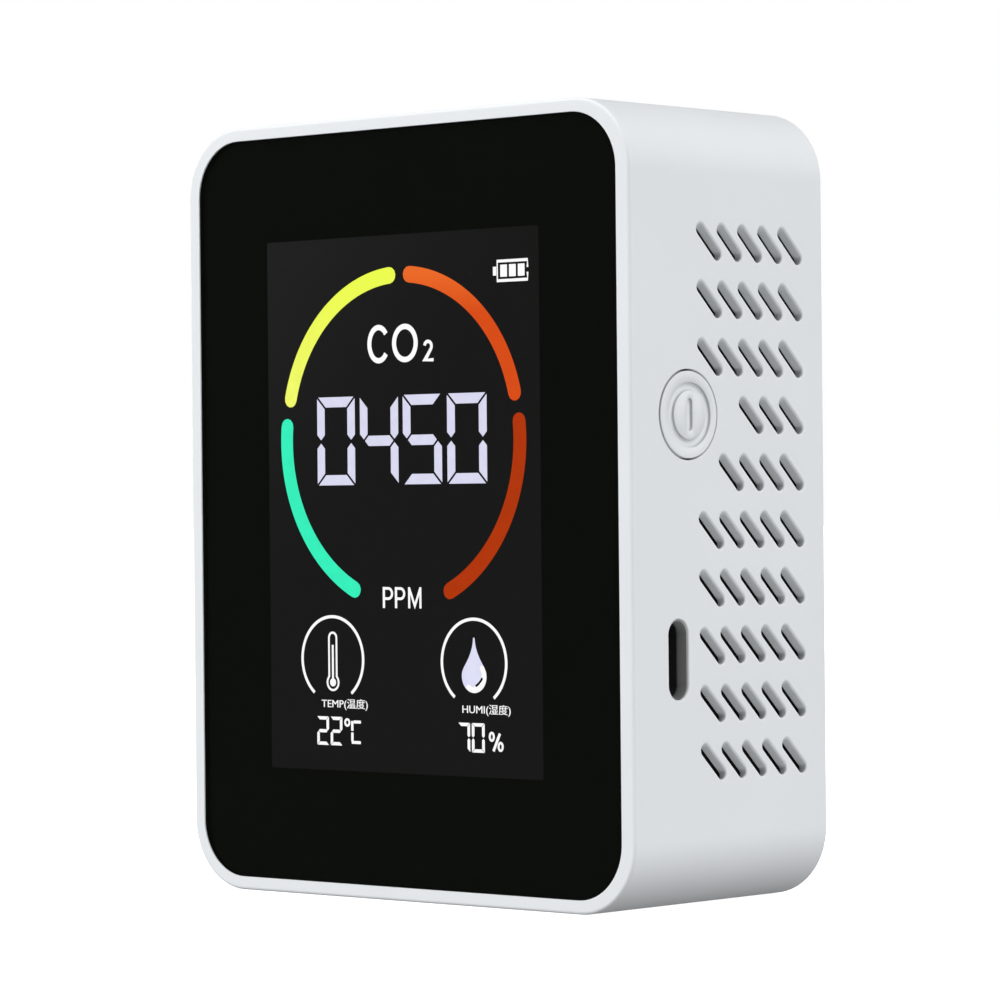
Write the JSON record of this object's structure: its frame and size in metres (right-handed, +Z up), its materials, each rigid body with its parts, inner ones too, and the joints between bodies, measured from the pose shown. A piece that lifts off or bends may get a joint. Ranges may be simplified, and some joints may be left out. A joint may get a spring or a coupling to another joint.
{
  "type": "air quality monitor",
  "caption": "Upright desktop air quality monitor: rounded white case, dark display with lit arcs, digits and icons, vented sides, side power button and USB-C port.",
  "frame": {"origin": "centre of the bounding box's bottom face", "axes": "+Z up, the display faces -Y, +X is the side with the power button and the USB-C port"},
  "size_m": [0.073, 0.036, 0.095],
  "materials": {
    "case_white": "fine satin texture, cool white",
    "button_white": "smooth satin, cool white",
    "lens_glass": "dark tinted, polished",
    "adhesive_black": "dull printed black",
    "lcd_black": "dark display panel with lit graphics",
    "diffuser_white": "white reflector plastic",
    "clear_acrylic": "clear light guide",
    "polyimide": "amber flexible circuit",
    "nylon": "ivory nylon",
    "board_green": "green solder mask",
    "chip_black": "moulded epoxy",
    "can_aluminium": "bright can or foil pouch",
    "steel": "plated steel",
    "plastic_black": "black engineering plastic",
    "gold_metal": "gold-plated gas chamber",
    "filter_white": "woven gas filter",
    "liner_gray": "dark gray port liner",
    "foam_black": "closed-cell foam",
    "wire_red": "insulated lead",
    "wire_black": "insulated lead",
    "screen_mesh": "fine black dust mesh",
    "label_gray": "plain label"
  },
  "bodies": {
    "case": {"front_housing": "case_white", "back_cover": "case_white", "dust_screen_right": "screen_mesh", "dust_screen_left": "screen_mesh", "display_lens": "lens_glass", "lens_adhesive": "adhesive_black", "lcd_panel": "lcd_black", "backlight_frame": "diffuser_white", "light_guide": "clear_acrylic", "backlight_leds": "diffuser_white", "lcd_ribbon_cable": "polyimide", "ribbon_socket": "nylon", "main_board": "board_green", "microcontroller": "chip_black", "lcd_driver_chip": "chip_black", "charge_chip": "chip_black", "power_inductor": "chip_black", "filter_capacitor": "can_aluminium", "clock_crystal": "steel", "temperature_humidity_sensor": "plastic_black", "alarm_buzzer": "plastic_black", "co2_sensor_board": "board_green", "co2_sensor_pins": "plastic_black", "co2_sensor_chamber": "gold_metal", "co2_sensor_filter": "filter_white", "button_switch_body": "plastic_black", "usb_port_liner": "liner_gray", "usb_port_gasket": "foam_black", "usb_socket_shell": "steel", "usb_socket_tongue": "plastic_black", "battery_cell": "can_aluminium", "battery_foam_pad": "foam_black", "battery_socket": "nylon", "battery_wire_red": "wire_red", "battery_wire_black": "wire_black", "rating_label": "label_gray", "cover_screw_1": "steel", "cover_screw_2": "steel", "cover_screw_3": "steel", "cover_screw_4": "steel", "board_screw_1": "steel", "board_screw_2": "steel", "board_screw_3": "steel", "board_screw_4": "steel"},
    "button": {"power_button": "button_white"},
    "plunger": {"button_switch_plunger": "nylon"}
  },
  "joints": [
    {"name": "power_button_press", "type": "slide", "parent": "case", "child": "button", "axis": [-1, 0, 0], "range_m": [0, 0.0004], "stiffness_N_per_m": 500},
    {"name": "switch_plunger_press", "type": "slide", "parent": "case", "child": "plunger", "axis": [-1, 0, 0], "range_m": [0, 0.0004], "stiffness_N_per_m": 300}
  ],
  "couplings": [
    {"joint": "switch_plunger_press", "follows": "power_button_press", "ratio": 1}
  ]
}
